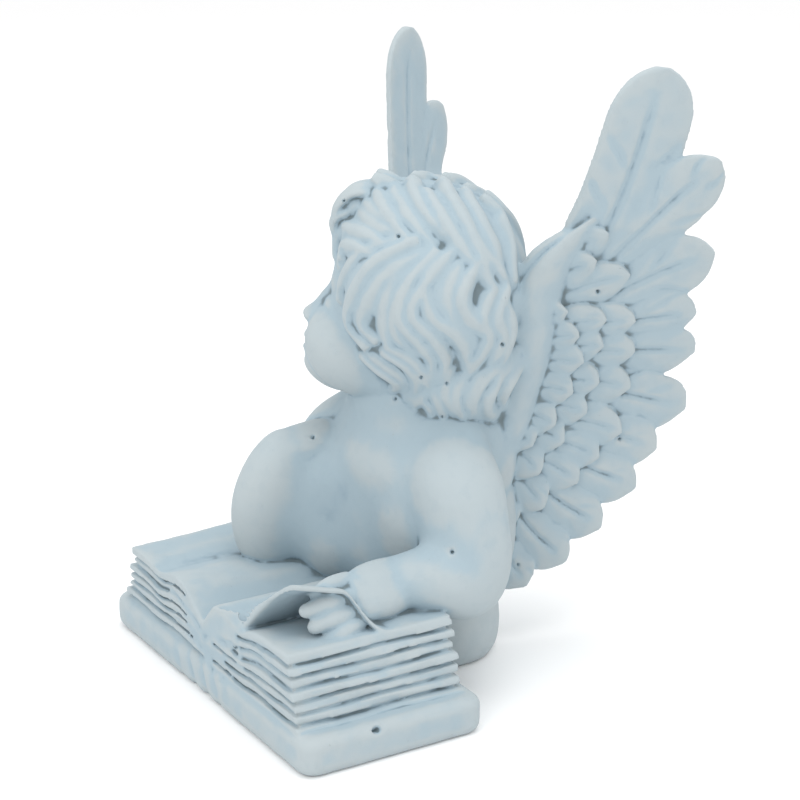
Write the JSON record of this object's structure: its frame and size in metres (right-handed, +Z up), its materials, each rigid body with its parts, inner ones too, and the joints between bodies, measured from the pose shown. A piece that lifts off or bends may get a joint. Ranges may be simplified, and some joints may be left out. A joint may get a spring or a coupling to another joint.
{
  "type": "angel figurine",
  "caption": "Cast cherub ornament: a winged child leans over an open book, chin on one hand, the other hand lifting a leaf.",
  "frame": {"origin": "middle of the book cover's flat underside, on the ground", "axes": "+X to the angel's left along the book's width, -Y out of the book's front edge toward a reader, +Z up"},
  "size_m": [0.1395, 0.1557, 0.1871],
  "materials": {
    "cast": "matt, pale blue-grey"
  },
  "bodies": {
    "root": {"angel_figurine": "cast"}
  },
  "joints": []
}
